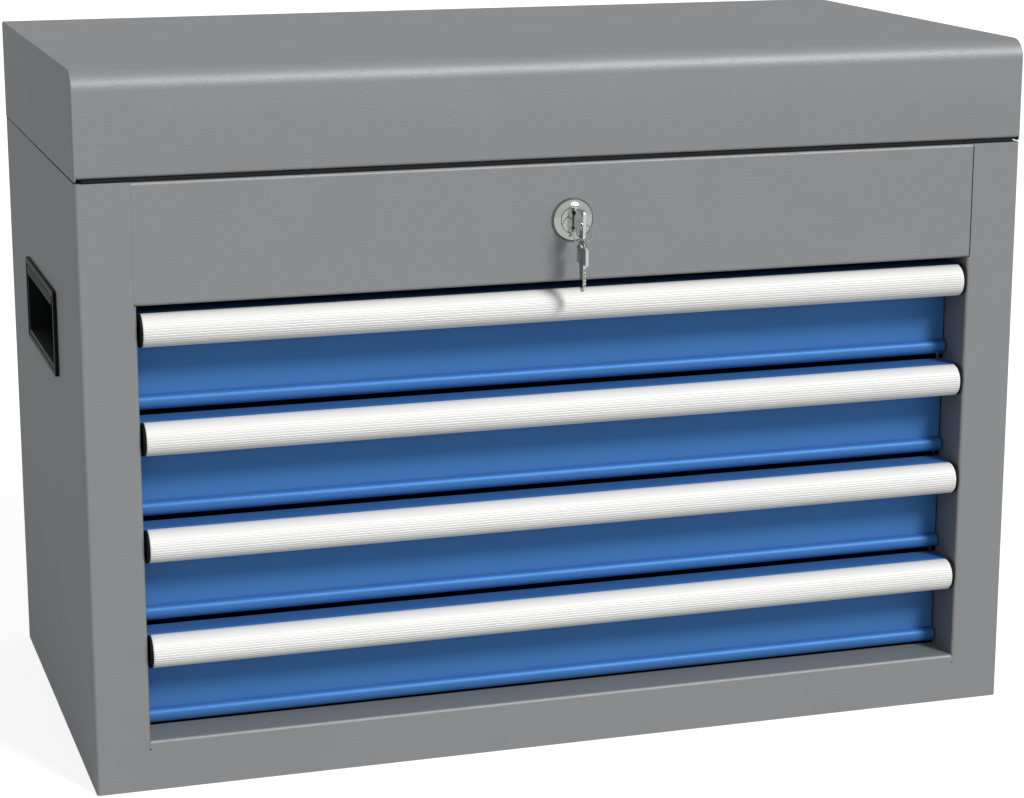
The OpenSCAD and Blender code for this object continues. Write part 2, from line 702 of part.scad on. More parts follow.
module strut_eye(neck) {
    rod_x(eye_r, -strut_eye_w / 2, strut_eye_w / 2, 0, 0);
    cylinder(r = strut_rod_r, h = neck, $fn = round_fn);
}
module strut_bore() rod_x(strut_pin_r + run_fit, -strut_eye_w, strut_eye_w, 0, 0);
module strut_tube() along_strut(strut_low, false) difference() {
    union() {
        strut_eye(eye_r + 2);
        translate([0, 0, eye_r + 1]) cylinder(r = strut_tube_r, h = strut_tube_len - eye_r - 1, $fn = round_fn);
    }
    strut_bore();
    translate([0, 0, piston_start - pass_gap])
        cylinder(r = strut_tube_r - strut_tube_wall, h = strut_tube_len - gland_len - piston_start + pass_gap,
            $fn = round_fn);
    translate([0, 0, piston_start]) cylinder(r = strut_rod_r + pass_gap, h = strut_tube_len, $fn = round_fn);
}
module strut_rod() along_strut(strut_high, true) difference() {
    union() {
        strut_eye(strut_len - piston_start - 1);
        translate([0, 0, strut_len - piston_start - piston_len])
            cylinder(r = strut_tube_r - strut_tube_wall - pass_gap, h = piston_len, $fn = round_fn);
    }
    strut_bore();
}
module right_strut_tube() color(black) strut_tube();
module left_strut_tube() color(black) mirror([1, 0, 0]) strut_tube();
module right_strut_rod() color(chrome) strut_rod();
module left_strut_rod() color(chrome) mirror([1, 0, 0]) strut_rod();

// Lock: housing through the fascia, a nut behind it, and a plug that turns the cam
module lock_housing() color(chrome) difference() {
    union() {
        translate([0, front_y, lock_z]) rotate([90, 0, 0]) rotate_extrude($fn = round_fn) polygon([
            [0, 0], [lock_collar_r, 0], [lock_face_r, lock_rim_h], [plug_face_r + plug_rim, lock_face_t],
            [0, lock_face_t]
        ]);
        rod_y(lock_barrel_r, front_y - half_t, barrel_end, 0, lock_z);
    }
    rod_y(plug_face_r + run_fit, lock_front - seam, lock_front + plug_face_t + run_fit, 0, lock_z);
    rod_y(plug_r + run_fit, lock_front - seam, barrel_end + seam, 0, lock_z);
}
module lock_nut() color(zinc) difference() {
    translate([0, front_y + sheet_t + lock_nut_t, lock_z]) rotate([90, 0, 0])
        cylinder(d = lock_nut_w, h = lock_nut_t, $fn = 6);
    rod_y(lock_barrel_r + run_fit, front_y, front_y + sheet_t + lock_nut_t + seam, 0, lock_z);
}
module lock_plug() color(chrome) {
    difference() {
        union() {
            rod_y(plug_face_r, lock_front + 0.1, lock_front + plug_face_t, 0, lock_z);
            rod_y(plug_r, lock_front + plug_face_t - half_t, cam_y, 0, lock_z);
        }
        block([-slot_w / 2, lock_front - seam, lock_z - slot_h / 2],
            [slot_w / 2, blade_tip + pass_gap, lock_z + slot_h / 2]);
    }
    block([-cam_stud_w / 2, cam_y - half_t, lock_z - cam_stud_w / 2],
        [cam_stud_w / 2, stud_end, lock_z + cam_stud_w / 2]);
}
module lock_cam() color(zinc) difference() {
    union() {
        rod_y(cam_w / 2 + 1, cam_y, cam_y + cam_t, 0, lock_z);
        block([-cam_w / 2, cam_y, lock_z], [cam_w / 2, cam_y + cam_t, lock_z + cam_len - cam_w / 2]);
        rod_y(cam_w / 2, cam_y, cam_y + cam_t, 0, lock_z + cam_len - cam_w / 2);
    }
    block([-cam_stud_w / 2 - run_fit, cam_y - seam, lock_z - cam_stud_w / 2 - run_fit],
        [cam_stud_w / 2 + run_fit, cam_y + cam_t + seam, lock_z + cam_stud_w / 2 + run_fit]);
}

// Keys: one in the lock, and a spare that hangs from the ring
module blade_teeth(start, step, edge) for (i = [0:3])
    translate([start + i * step, edge]) rotate(45) square(tooth_d * (i % 2 == 0 ? 1 : 1.3), center = true);
module key() color(chrome) span_x(-key_t / 2, key_t / 2) difference() {
    union() {
        rounded_plate([bow_front, lock_z - bow_w / 2], [bow_back, lock_z + bow_w / 2], 2.5);
        translate([bow_back - half_t, lock_z - blade_h / 2]) square([blade_tip - bow_back + half_t, blade_h]);
    }
    translate([hole_y, lock_z - hole_edge + bow_hole_r]) circle(bow_hole_r, $fn = round_fn);
    blade_teeth(lock_front + 3, 3.4, lock_z - blade_h / 2);
}
module key_ring() color(chrome) translate([0, hole_y, ring_z]) rotate([90, 0, 0])
    rotate_extrude($fn = 96) translate([ring_r, 0]) circle(ring_wire_r, $fn = 16);
module spare_key() color(chrome) span_x(-key_t / 2, key_t / 2) difference() {
    union() {
        polygon([
            [hole_y - 2, spare_bow_top], [hole_y + 2, spare_bow_top],
            [hole_y + bow_w / 2, spare_bow_top - 5], [hole_y + bow_w / 2, spare_bow_bottom],
            [hole_y - bow_w / 2, spare_bow_bottom], [hole_y - bow_w / 2, spare_bow_top - 5]
        ]);
        translate([hole_y - blade_h / 2, spare_bow_bottom - blade_len]) square([blade_h, blade_len + half_t]);
    }
    translate([hole_y, spare_hole_z]) circle(bow_hole_r, $fn = round_fn);
    translate([hole_y + blade_h / 2, spare_bow_bottom]) rotate(-90) blade_teeth(3, 3.4, 0);
}

left_side_panel();
right_side_panel();
front_sill();
floor_pan();
back_panel();
fascia();
tray_floor();
tray_mat();
slide_uprights();
slide_outer_rails();
left_handle();
right_handle();
lid_seal();
hinge_body_leaf();
hinge_lid_leaf();
hinge_pin();
lid_shell();
lid_stiffener();
lid_catch();
strut_body_brackets();
strut_lid_brackets();
left_strut_tube();
left_strut_rod();
right_strut_tube();
right_strut_rod();
lock_housing();
lock_nut();
lock_plug();
lock_cam();
key();
key_ring();
spare_key();
drawer_front(1);  // drawer_1_front
drawer_box(1);  // drawer_1_box
drawer_mat(1);  // drawer_1_mat
drawer_grip(1);  // drawer_1_grip
drawer_grip_caps(1);  // drawer_1_grip_caps
drawer_inner_rails(1);  // drawer_1_inner_rails
drawer_ball_cages(1);  // drawer_1_ball_cages
drawer_front(2);  // drawer_2_front
drawer_box(2);  // drawer_2_box
drawer_mat(2);  // drawer_2_mat
drawer_grip(2);  // drawer_2_grip
drawer_grip_caps(2);  // drawer_2_grip_caps
drawer_inner_rails(2);  // drawer_2_inner_rails
drawer_ball_cages(2);  // drawer_2_ball_cages
drawer_front(3);  // drawer_3_front
drawer_box(3);  // drawer_3_box
drawer_mat(3);  // drawer_3_mat
drawer_grip(3);  // drawer_3_grip
drawer_grip_caps(3);  // drawer_3_grip_caps
drawer_inner_rails(3);  // drawer_3_inner_rails
drawer_ball_cages(3);  // drawer_3_ball_cages
drawer_front(4);  // drawer_4_front
drawer_box(4);  // drawer_4_box
drawer_mat(4);  // drawer_4_mat
drawer_grip(4);  // drawer_4_grip
drawer_grip_caps(4);  // drawer_4_grip_caps
drawer_inner_rails(4);  // drawer_4_inner_rails
drawer_ball_cages(4);  // drawer_4_ball_cages
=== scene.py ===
import bmesh
import bpy
import numpy as np
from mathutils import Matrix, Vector


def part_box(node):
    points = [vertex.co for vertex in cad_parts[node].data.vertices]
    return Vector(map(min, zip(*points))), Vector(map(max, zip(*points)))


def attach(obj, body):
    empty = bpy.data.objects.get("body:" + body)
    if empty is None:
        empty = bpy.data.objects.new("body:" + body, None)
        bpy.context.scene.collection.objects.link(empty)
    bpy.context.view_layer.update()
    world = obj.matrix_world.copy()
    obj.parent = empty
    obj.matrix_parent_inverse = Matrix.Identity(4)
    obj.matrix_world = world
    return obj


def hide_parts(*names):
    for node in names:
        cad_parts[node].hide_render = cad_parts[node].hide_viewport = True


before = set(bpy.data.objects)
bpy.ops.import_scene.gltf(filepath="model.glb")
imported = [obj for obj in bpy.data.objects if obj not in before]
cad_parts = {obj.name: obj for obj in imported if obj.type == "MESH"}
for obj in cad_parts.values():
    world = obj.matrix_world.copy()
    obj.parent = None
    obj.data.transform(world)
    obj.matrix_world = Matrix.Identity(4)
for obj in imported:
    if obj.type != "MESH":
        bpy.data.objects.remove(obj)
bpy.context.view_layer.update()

# Camera: stands to the left of the box and a little above it. Its place and turn were fitted to
# the box's corners; the lens gives the same view on the 1024 by 798 image.
IMAGE_WIDTH = 1024
FOCAL_PIXELS = 2639.13
STAND = (-0.50817, -1.65620, 0.60267)  # metres
DIP, TURN = 13.448, -17.422  # degrees down from level, and about the upright axis

camera = bpy.data.objects.new("camera", bpy.data.cameras.new("camera"))
bpy.context.scene.collection.objects.link(camera)
camera.location = STAND
camera.rotation_euler = np.radians((90 - DIP, 0, TURN))
camera.data.lens = camera.data.sensor_width * FOCAL_PIXELS / IMAGE_WIDTH
bpy.context.scene.camera = camera


# Body: side panels with their stiles, sill, fascia, back panel, floor pan and tray floor, folded
# from 1 mm sheet steel and spot-welded. The CAD sheets stay as they are. All of them carry a grey
# powder coat with a fine texture that lies in short level streaks.
def srgb(code):
    """A hex colour as linear red, green, blue and alpha."""
    value = np.array([int(code[i:i + 2], 16) for i in (1, 3, 5)]) / 255
    linear = np.where(value <= 0.04045, value / 12.92, ((value + 0.055) / 1.055) ** 2.4)
    return (*linear.tolist(), 1)


def add(tree, kind, sockets=(), **settings):
    """A node with its settings. sockets maps an input to a value or to the output that feeds it."""
    node = tree.nodes.new("ShaderNode" + kind)
    for name, value in settings.items():
        setattr(node, name, value)
    for key, value in dict(sockets).items():
        if isinstance(value, bpy.types.NodeSocket):
            tree.links.new(value, node.inputs[key])
        else:
            node.inputs[key].default_value = value
    return node


def start_finish(name):
    """A bare material, its node tree, and the place on the piece in metres."""
    material = bpy.data.materials.new(name)
    material.use_nodes = True
    material.node_tree.nodes.clear()
    return material, material.node_tree, add(material.node_tree, "TexCoord").outputs["Object"]


def end_finish(tree, sockets):
    """The Principled shader with these sockets, joined to the material's output."""
    shader = add(tree, "BsdfPrincipled", sockets)
    add(tree, "OutputMaterial", {"Surface": shader.outputs["BSDF"]})


def textured_grey_powder_coat():
    """Polyester powder with aluminium flake, baked on steel. The flake gives it a metallic sheen
    that stays dull at flat angles. Its fine texture breaks highlights up into specks: a grain, and
    sparse level ridges four times as long as they are high. Both are really about 0.5 mm, too fine
    to show, and are drawn at about 1 mm. The shade drifts over 40 mm."""
    material, tree, place = start_finish("textured_grey_powder_coat")
    level = add(tree, "Mapping", {"Vector": place, "Scale": (0.25, 0.25, 1)}).outputs[0]
    streaks = add(tree, "TexNoise", {"Vector": level, "Scale": 1000, "Detail": 2, "Roughness": 0.6})
    grain = add(tree, "TexNoise", {"Vector": place, "Scale": 900, "Detail": 2})
    drift = add(tree, "TexNoise", {"Vector": place, "Scale": 25, "Detail": 2})
    ridges = add(tree, "MapRange", {"Value": streaks.outputs[0], "From Min": 0.52, "From Max": 0.8},
                 interpolation_type="SMOOTHSTEP")
    relief = add(tree, "Math", {0: grain.outputs[0], 1: 0.8, 2: ridges.outputs[0]},
                 operation="MULTIPLY_ADD")
    peel = add(tree, "Bump", {"Strength": 1, "Distance": 0.00006, "Height": relief.outputs[0]})
    shade = add(tree, "Mix", {0: drift.outputs[0], 6: srgb("#818385"), 7: srgb("#868889")},
                data_type="RGBA")
    gloss = add(tree, "MapRange", {"Value": grain.outputs[0], "To Min": 0.46, "To Max": 0.56})
    end_finish(tree, {"Base Color": shade.outputs[2], "Metallic": 0.35,
                      "Roughness": gloss.outputs[0], "Specular IOR Level": 0,
                      "Specular Tint": srgb("#d9d9d9"), "Normal": peel.outputs[0]})
    return material


def dress(material, *nodes):
    """Gives CAD nodes this finish."""
    for node in nodes:
        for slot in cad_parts[node].material_slots:
            slot.material = material


grey_coat = textured_grey_powder_coat()
dress(grey_coat, "left_side_panel", "right_side_panel", "front_sill", "fascia", "back_panel",
      "floor_pan", "tray_floor")


# Tray mat: a loose sheet of black rubber with fine ribs from side to side, cut to fit the tray.
# The drawers hold mats of the same rubber.
RIB_PITCH = 3
RIB_DEPTH = 0.5
RIB_POINTS = 8
RIB_FLANK = 3  # how steep the flanks are
RIB_SHARE = 1.5  # more than 0 makes the grooves narrower than the ribs


def black_ribbed_rubber():
    """Nitrile rubber, matt and almost black, with dull dusty patches of about 25 mm. Its grain of
    about 0.2 mm is too fine to show and is drawn at 1 mm."""
    material, tree, place = start_finish("black_ribbed_rubber")
    grain = add(tree, "TexNoise", {"Vector": place, "Scale": 1000, "Detail": 2})
    dust = add(tree, "TexNoise", {"Vector": place, "Scale": 40, "Detail": 4})
    skin = add(tree, "Bump", {"Strength": 0.5, "Distance": 0.0001, "Height": grain.outputs[0]})
    shade = add(tree, "Mix", {0: dust.outputs[0], 6: srgb("#0c0c0d"), 7: srgb("#141415")},
                data_type="RGBA")
    end_finish(tree, {"Base Color": shade.outputs[2], "Roughness": 0.72,
                      "Specular IOR Level": 0.2, "Normal": skin.outputs[0]})
    return material


def span(node):
    """Lowest and highest corner of a CAD node at rest, in mm."""
    return [np.array(corner) * 1000 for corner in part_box(node)]


def rows(axis, *steps):
    """A grid of places in mm. Each step is a place along the axis and a closed outline that holds
    the other two coordinates."""
    return np.stack([np.insert(outline, axis, place, axis=1) for place, outline in steps])


def close_up(mesh, sharp_angle):
    """Merges doubled points, turns the faces outwards and shades them smooth up to sharp_angle."""
    work = bmesh.new()
    work.from_mesh(mesh)
    bmesh.ops.remove_doubles(work, verts=work.verts, dist=1e-7)
    bmesh.ops.recalc_face_normals(work, faces=work.faces)
    work.to_mesh(mesh)
    work.free()
    mesh.shade_smooth()
    mesh.set_sharp_from_angle(angle=np.radians(sharp_angle))


def show(mesh, material):
    """Puts a mesh into the scene as a piece of its own name, in this finish."""
    mesh.materials.append(material)
    piece = bpy.data.objects.new(mesh.name, mesh)
    bpy.context.scene.collection.objects.link(piece)
    return piece


def solid(name, material, *grids, loop=False, sharp_angle=30):
    """A piece with one closed skin through each grid: neighbouring rows are joined by quads, and a
    face closes each end. With loop, the last row joins the first instead."""
    faces, start = [], 0
    for grid in grids:
        count, width = grid.shape[:2]
        row, column = np.mgrid[0:count if loop else count - 1, 0:width]
        beyond, beside = (row + 1) % count * width, (column + 1) % width
        quads = np.stack([row * width + column, row * width + beside, beyond + beside,
                          beyond + column], -1)
        faces += (quads.reshape(-1, 4) + start).tolist()
        if not loop:
            end = np.arange(width) + start
            faces += [end.tolist(), (end + (count - 1) * width).tolist()]
        start += count * width
    places = np.concatenate([grid.reshape(-1, 3) for grid in grids]) / 1000
    mesh = bpy.data.meshes.new(name)
    mesh.from_pydata(places.tolist(), [], faces)
    close_up(mesh, sharp_angle)
    return show(mesh, material)


def ribbed_mat(node):
    """A flat sheet in the node's box whose top is a row of level ribs: the height falls by
    RIB_DEPTH in a groove, along a steep tanh of a cosine, once in every RIB_PITCH."""
    low, high = span(node)
    ribs = int((high[1] - low[1]) / RIB_PITCH)
    along = np.linspace(0, ribs, ribs * RIB_POINTS + 1)
    groove = 0.5 - 0.5 * np.tanh(RIB_FLANK * np.cos(2 * np.pi * along) + RIB_SHARE)
    top = np.stack([low[1] + (high[1] - low[1]) * along / ribs, high[2] - RIB_DEPTH * groove], 1)
    outline = np.concatenate([top, [(high[1], low[2]), (low[1], low[2])]])
    return solid(node + "_ribbed", rubber, rows(0, (low[0], outline), (high[0], outline)),
                 sharp_angle=50)


rubber = black_ribbed_rubber()
tray_mat = ribbed_mat("tray_mat")
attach(tray_mat, "cabinet")
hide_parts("tray_mat")


# Slide uprights and outer rails: roll-formed steel channels, zinc plated, that carry the drawers
# behind the stiles. The CAD shapes stay.
def bright_zinc_plate():
    """Electroplated zinc with a clear passivate: a pale metal with a soft cloudy gloss over about
    15 mm and a slight yellow and blue drift. The sheet's faint rolling lines are about 0.2 mm
    apart, too fine to show, and are drawn 1 mm apart."""
    material, tree, place = start_finish("bright_zinc_plate")
    drawn = add(tree, "Mapping", {"Vector": place, "Scale": (1, 0.05, 1)}).outputs[0]
    lines = add(tree, "TexNoise", {"Vector": drawn, "Scale": 1000, "Detail": 3})
    cloud = add(tree, "TexNoise", {"Vector": place, "Scale": 60, "Detail": 5, "Roughness": 0.65})
    skin = add(tree, "Bump", {"Strength": 0.25, "Distance": 0.00004, "Height": lines.outputs[0]})
    shade = add(tree, "Mix", {0: cloud.outputs[0], 6: srgb("#b3b7bd"), 7: srgb("#bdbcb4")},
                data_type="RGBA")
    gloss = add(tree, "MapRange", {"Value": cloud.outputs[0], "From Min": 0.3, "From Max": 0.7,
                                   "To Min": 0.26, "To Max": 0.42})
    end_finish(tree, {"Base Color": shade.outputs[2], "Metallic": 1, "Roughness": gloss.outputs[0],
                      "Normal": skin.outputs[0]})
    return material


zinc_plate = bright_zinc_plate()
dress(zinc_plate, "slide_uprights", "slide_outer_rails")


# Side handles: one black ABS moulding for each side, snapped into a cut-out in the panel. A flat
# rim with a groove round it stands on the sheet, its upper band is ribbed, and a deep cup takes
# the fingers.
RIM_CORNER = 3
RIM_EDGE = 0.5
TOP_TRIM = 1  # the moulding's upper edge lies this far below the CAD's
CUP_WALL = 1.6
CUP_INSET = (8, 6.5, 8, 10.5)  # from the rim's edge: front, foot, back, top
CUP_CORNER = 0.8
CUP_DRAFT = 1  # how much the cup narrows towards its floor
CUP_FILLET = 2
GROOVE_INSET = (4, 3.2, 4, 3.7)
GROOVE_HALF = 0.3
BAND_DROP = 0.5
GRIP_RIBS = 4
GRIP_RIB_POINTS = 20
GRIP_RIB_FLANK = 10  # how steep the flanks are
GRIP_RIB_SHARE = 7  # the nearer to the flank's value, the narrower the grooves


def moulded_black_abs():
    """Injection-moulded ABS, near black and nearly without gloss. The mould was spark-eroded: its
    grain of about 0.1 mm scatters the light, is too fine to show and is drawn at 0.8 mm. The gloss
    drifts over 20 mm, along the plastic's flow."""
    material, tree, place = start_finish("moulded_black_abs")
    grain = add(tree, "TexNoise", {"Vector": place, "Scale": 1200, "Detail": 2})
    flow = add(tree, "TexNoise", {"Vector": place, "Scale": 50, "Detail": 2})
    skin = add(tree, "Bump", {"Strength": 0.4, "Distance": 0.00004, "Height": grain.outputs[0]})
    gloss = add(tree, "MapRange", {"Value": flow.outputs[0], "To Min": 0.50, "To Max": 0.60})
    shade = add(tree, "Mix", {0: flow.outputs[0], 6: srgb("#111212"), 7: srgb("#181919")},
                data_type="RGBA")
    end_finish(tree, {"Base Color": shade.outputs[2], "Roughness": gloss.outputs[0],
                      "Specular IOR Level": 0.05, "Normal": skin.outputs[0]})
    return material


def rounded(low, high, radius, steps=8):
    """A rectangle with round corners: each corner's centre plus a quarter of a circle."""
    low, high = np.array(low) + radius, np.array(high) - radius
    turn = np.linspace(0, np.pi / 2, steps + 1)
    centres = ((high[0], high[1]), (low[0], high[1]), (low[0], low[1]), (high[0], low[1]))
    corners = []
    for quarter, centre in enumerate(centres):
        angle = turn + quarter * np.pi / 2
        corners.append(np.array(centre) + radius * np.stack([np.cos(angle), np.sin(angle)], 1))
    return np.concatenate(corners)


def quarter_turn(size, steps=4):
    """Places round a quarter of a circle of this size: how far in, and how far down, from 0."""
    angle = np.linspace(0, np.pi / 2, steps + 1)
    return zip(size * (1 - np.cos(angle)), size * (1 - np.sin(angle)))


def side_handle(node, side, body):
    """The rim and cup are one skin: outlines between the rim's edge and the cup's floor, each with
    its own depth from the face. The ribs are a second skin on the rim's upper band: the face falls
    to the band in a narrow groove, along a steep tanh of a cosine, at each of GRIP_RIBS steps."""
    low, high = span(node)
    high[2] -= TOP_TRIM
    face = max(abs(low[0]), abs(high[0]))
    floor = min(abs(low[0]), abs(high[0]))
    panel = span(f"{body}_side_panel")
    sheet = max(abs(panel[0][0]), abs(panel[1][0]))

    def outline(inset, out=0, radius=CUP_CORNER):
        """The rim's edge moved in by inset (front, foot, back, top) and out by out."""
        front, foot, back, top = inset
        return rounded((low[1] + front - out, low[2] + foot - out),
                       (high[1] - back + out, high[2] - top + out), radius)

    edge = (0, 0, 0, 0)
    steps = [(floor, outline(CUP_INSET, CUP_WALL)), (sheet, outline(CUP_INSET, CUP_WALL)),
             (sheet, outline(edge, 0, RIM_CORNER))]
    steps += [(face - down, outline(edge, -inward, RIM_CORNER - inward))
              for inward, down in quarter_turn(RIM_EDGE)]
    steps += [(face, outline(GROOVE_INSET, GROOVE_HALF)),
              (face - 2 * GROOVE_HALF, outline(GROOVE_INSET, GROOVE_HALF / 2)),
              (face - 2 * GROOVE_HALF, outline(GROOVE_INSET, -GROOVE_HALF / 2)),
              (face - BAND_DROP, outline(GROOVE_INSET, -GROOVE_HALF))]
    steps += [(face - BAND_DROP - RIM_EDGE + down, outline(CUP_INSET, inward))
              for inward, down in list(quarter_turn(RIM_EDGE))[::-1]]
    steps += [(floor + CUP_WALL + CUP_FILLET, outline(CUP_INSET, -CUP_DRAFT)),
              (floor + CUP_WALL, outline(CUP_INSET, -CUP_DRAFT - CUP_FILLET, CUP_FILLET))]

    band = (high[2] - CUP_INSET[3] + RIM_EDGE, high[2] - GROOVE_INSET[3] - GROOVE_HALF)
    wave = np.linspace(0, 2 * np.pi * GRIP_RIBS, GRIP_RIBS * GRIP_RIB_POINTS + 1)
    groove = 0.5 + 0.5 * np.tanh(GRIP_RIB_FLANK * np.cos(wave) - GRIP_RIB_SHARE)
    ribs = np.stack([face - BAND_DROP * groove, np.linspace(*band, len(wave))], 1)
    under = face - 2 * BAND_DROP
    ribs = np.concatenate([ribs, [(under, band[1]), (under, band[0])]])
    rib_grid = rows(1, (low[1] + CUP_INSET[0], ribs), (high[1] - CUP_INSET[2], ribs))
    grids = [rows(0, *steps), rib_grid]
    handle = solid(f"{body}_carry_handle", abs_black, *[grid * (side, 1, 1) for grid in grids])
    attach(handle, "cabinet")
    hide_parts(node)


abs_black = moulded_black_abs()
side_handle("left_handle", -1, "left")
side_handle("right_handle", 1, "right")


# Lid seal: a flat strip of the same rubber, glued on the fascia's top edge. It fills the gap under
# the lid, which shows as a black line.
dress(rubber, "lid_seal")


# Seams: beside the fascia the coat bridges the narrow gap to the left stile. A thin strip of the
# black rubber lies in the gap on the right as painted shadow: it stands for the shade in the open
# gap. A short weld fills the gap at each end of the sill's upper edge.
FASCIA_HALF, SEAM = 267.8, 0.3
SEAM_END = 1.6
FILL_BACK = 0.9  # how far a fill reaches behind the front of its sheet
FILL_CORNER = 0.1
COAT_DEPTH = 0.12
# The painted shadow strip in the right seam: how far it laps over each side, and how far it stands
# out.
SHADOW_STRIP_LAP, SHADOW_STRIP_RISE = 0.2, 0.03
WELD_W, WELD_H = 1.2, 4.4
WELD_DEPTH, WELD_TOP = 0.05, 0.4  # below the sill's front, and below its upper edge


def seam_fill(start, stop, depth):
    """A narrow fill beside the fascia, from its top to its foot, this far below its surface."""
    low, high = span("fascia")
    outline = rounded((low[1] + depth, low[2] + SEAM_END),
                      (low[1] + FILL_BACK, high[2] - SEAM_END), FILL_CORNER)
    return rows(0, (start, outline), (stop, outline))


low, high = span("front_sill")
weld_top = high[2] - WELD_TOP
outline = rounded((low[1] + WELD_DEPTH, weld_top - WELD_H), (low[1] + FILL_BACK, weld_top),
                  FILL_CORNER)
welds = [rows(0, (end, outline), (end + np.sign(end) * WELD_W, outline))
         for end in (low[0], high[0])]
coat_bridge = seam_fill(-FASCIA_HALF - SEAM, -FASCIA_HALF, COAT_DEPTH)
seams = solid("painted_seams", grey_coat, coat_bridge, *welds)
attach(seams, "cabinet")
# A black rubber strip in the right seam, as painted shadow for the shade in the open gap.
gap_shadow_strip = solid("painted_seam_shadow", rubber,
             seam_fill(FASCIA_HALF - SHADOW_STRIP_LAP, FASCIA_HALF + SEAM + SHADOW_STRIP_LAP, -SHADOW_STRIP_RISE))
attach(gap_shadow_strip, "cabinet")


# Hinge: two steel leaves rolled round one pin along the back edge, zinc plated. Domed rivets hold
# each leaf to its sheet.
LEAF = 1
RIVET_R = 2.6
RIVET_DOME = 1.2
RIVET_TURN = 1.5  # radians from the head's rim to its top, just short of a point
RIVETS = 12
RIVET_EDGE = 22  # from the leaf's ends
RIVET_RISE = 6  # from the leaf's outer edge

dress(zinc_plate, "hinge_body_leaf", "hinge_lid_leaf", "hinge_pin")


def circle(across, up, radius, steps=8):
    """A circle about a centre, as a square whose corners are all curve."""
    return rounded((across - radius, up - radius), (across + radius, up + radius), radius, steps)


def rivet_row(node, body, height):
    """Domed heads in a row: circles that shrink from the leaf outwards along a quarter circle."""
    low, high = span(node)
    leaf_face = span("back_panel")[1][1] + LEAF
    turn = np.linspace(0, RIVET_TURN, 6)
    dome = list(zip(leaf_face + RIVET_DOME * np.sin(turn), RIVET_R * np.cos(turn)))
    heads = []
    for across in np.linspace(low[0] + RIVET_EDGE, high[0] - RIVET_EDGE, RIVETS):
        heads.append(rows(1, *[(back, circle(across, height, size, 4)) for back, size in dome]))
    rivets = solid(node + "_rivets", zinc_plate, *heads)
    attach(rivets, body)


rivet_row("hinge_body_leaf", "cabinet", span("hinge_body_leaf")[0][2] + RIVET_RISE)
rivet_row("hinge_lid_leaf", "lid", span("hinge_lid_leaf")[1][2] - RIVET_RISE)


# Lid: a pressed shell with a rolled front edge, flat welded ends and hems folded inside. The new
# skin has the CAD's outline, with finer curves and softly rounded ends.
SHEET = 1
FOLD = 1.5  # radius of a sharp fold, at the middle of the sheet
ROLL = 11.9
BACK_FOLD = 2
LID_HEM = 14
END_HEM = 10
HEM_EDGE = 0.3
END_DROP = 1.8  # how far the ends reach down below the front
END_EDGE = 0.6


def folded_face(path, radii, out, steps=12):
    """One face of a folded sheet: the path moved to its left by out, with each inner point an arc
    round the fold's centre. The centre lies radius to the inner side of both straights."""
    path = np.array(path, float)
    way = np.diff(path, axis=0)
    way /= np.linalg.norm(way, axis=1)[:, None]
    left = np.stack([-way[:, 1], way[:, 0]], 1)
    parts = [path[:1] + left[:1] * out]
    for i, radius in enumerate(radii):
        angle = np.arctan2(left[i] @ way[i + 1], way[i] @ way[i + 1])
        inner = np.sign(angle)
        centre = path[i + 1] - way[i] * radius * np.tan(abs(angle) / 2) + left[i] * inner * radius
        arm = -left[i] * inner * (radius - inner * out)
        turn = np.linspace(0, angle, steps + 1)
        parts.append(centre + np.stack([arm[0] * np.cos(turn) - arm[1] * np.sin(turn),
                                        arm[0] * np.sin(turn) + arm[1] * np.cos(turn)], 1))
    parts.append(path[-1:] + left[-1:] * out)
    return np.concatenate(parts)


def folded_sheet(path, radii):
    """The closed outline of a folded strip of sheet, from its outer and inner face."""
    return np.concatenate([folded_face(path, radii, SHEET / 2),
                           folded_face(path, radii, -SHEET / 2)[::-1]])


lid_low, lid_high = span("lid_shell")
front, foot = lid_low[1] + SHEET / 2, lid_low[2] + END_DROP
back, top = lid_high[1] - SHEET / 2, lid_high[2] - SHEET / 2
lid_path = [(lid_low[1] + LID_HEM, foot + SHEET / 2), (front, foot + SHEET / 2), (front, top),
            (back, top), (back, foot)]
lid_radii = (FOLD, ROLL, BACK_FOLD)
end_path = [(across, up - END_DROP * (up < foot + SHEET)) for across, up in lid_path]
inside = lid_high[0] - SHEET
wrap = folded_sheet(lid_path, lid_radii)
lid_grids = [rows(0, (-inside, wrap), (inside, wrap))]
for side in (-1, 1):
    end = [(side * inside, folded_face(end_path, lid_radii, SHEET / 2))]
    end += [(side * (lid_high[0] - down), folded_face(end_path, lid_radii, SHEET / 2 - inward))
            for inward, down in quarter_turn(END_EDGE)]
    hem = rounded((front + FOLD + SHEET / 2, foot), (back, foot + SHEET), HEM_EDGE)
    hem_edge = lid_high[0] - END_HEM
    lid_grids += [rows(0, *end), rows(0, (side * hem_edge, hem), (side * inside, hem))]
lid = solid("lid_pressing", grey_coat, *lid_grids)
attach(lid, "lid")
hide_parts("lid_shell")


# Lid stiffener, lid catch and strut brackets: folded and stamped steel, zinc plated, welded or
# riveted inside the lid and the body.
dress(zinc_plate, "lid_stiffener", "lid_catch", "strut_lid_brackets", "strut_body_brackets")


# Gas struts: a tube with black gloss paint turns on the body, and a hard chrome rod turns on the
# lid and slides into the tube.
def black_gloss_stoving_paint():
    """Stoved enamel on a drawn tube: deep black, glossy, with a faint ripple of about 8 mm."""
    material, tree, place = start_finish("black_gloss_stoving_paint")
    ripple = add(tree, "TexNoise", {"Vector": place, "Scale": 120, "Detail": 1})
    skin = add(tree, "Bump", {"Strength": 0.2, "Distance": 0.0001, "Height": ripple.outputs[0]})
    end_finish(tree, {"Base Color": srgb("#0c0c0d"), "Roughness": 0.16, "Normal": skin.outputs[0]})
    return material


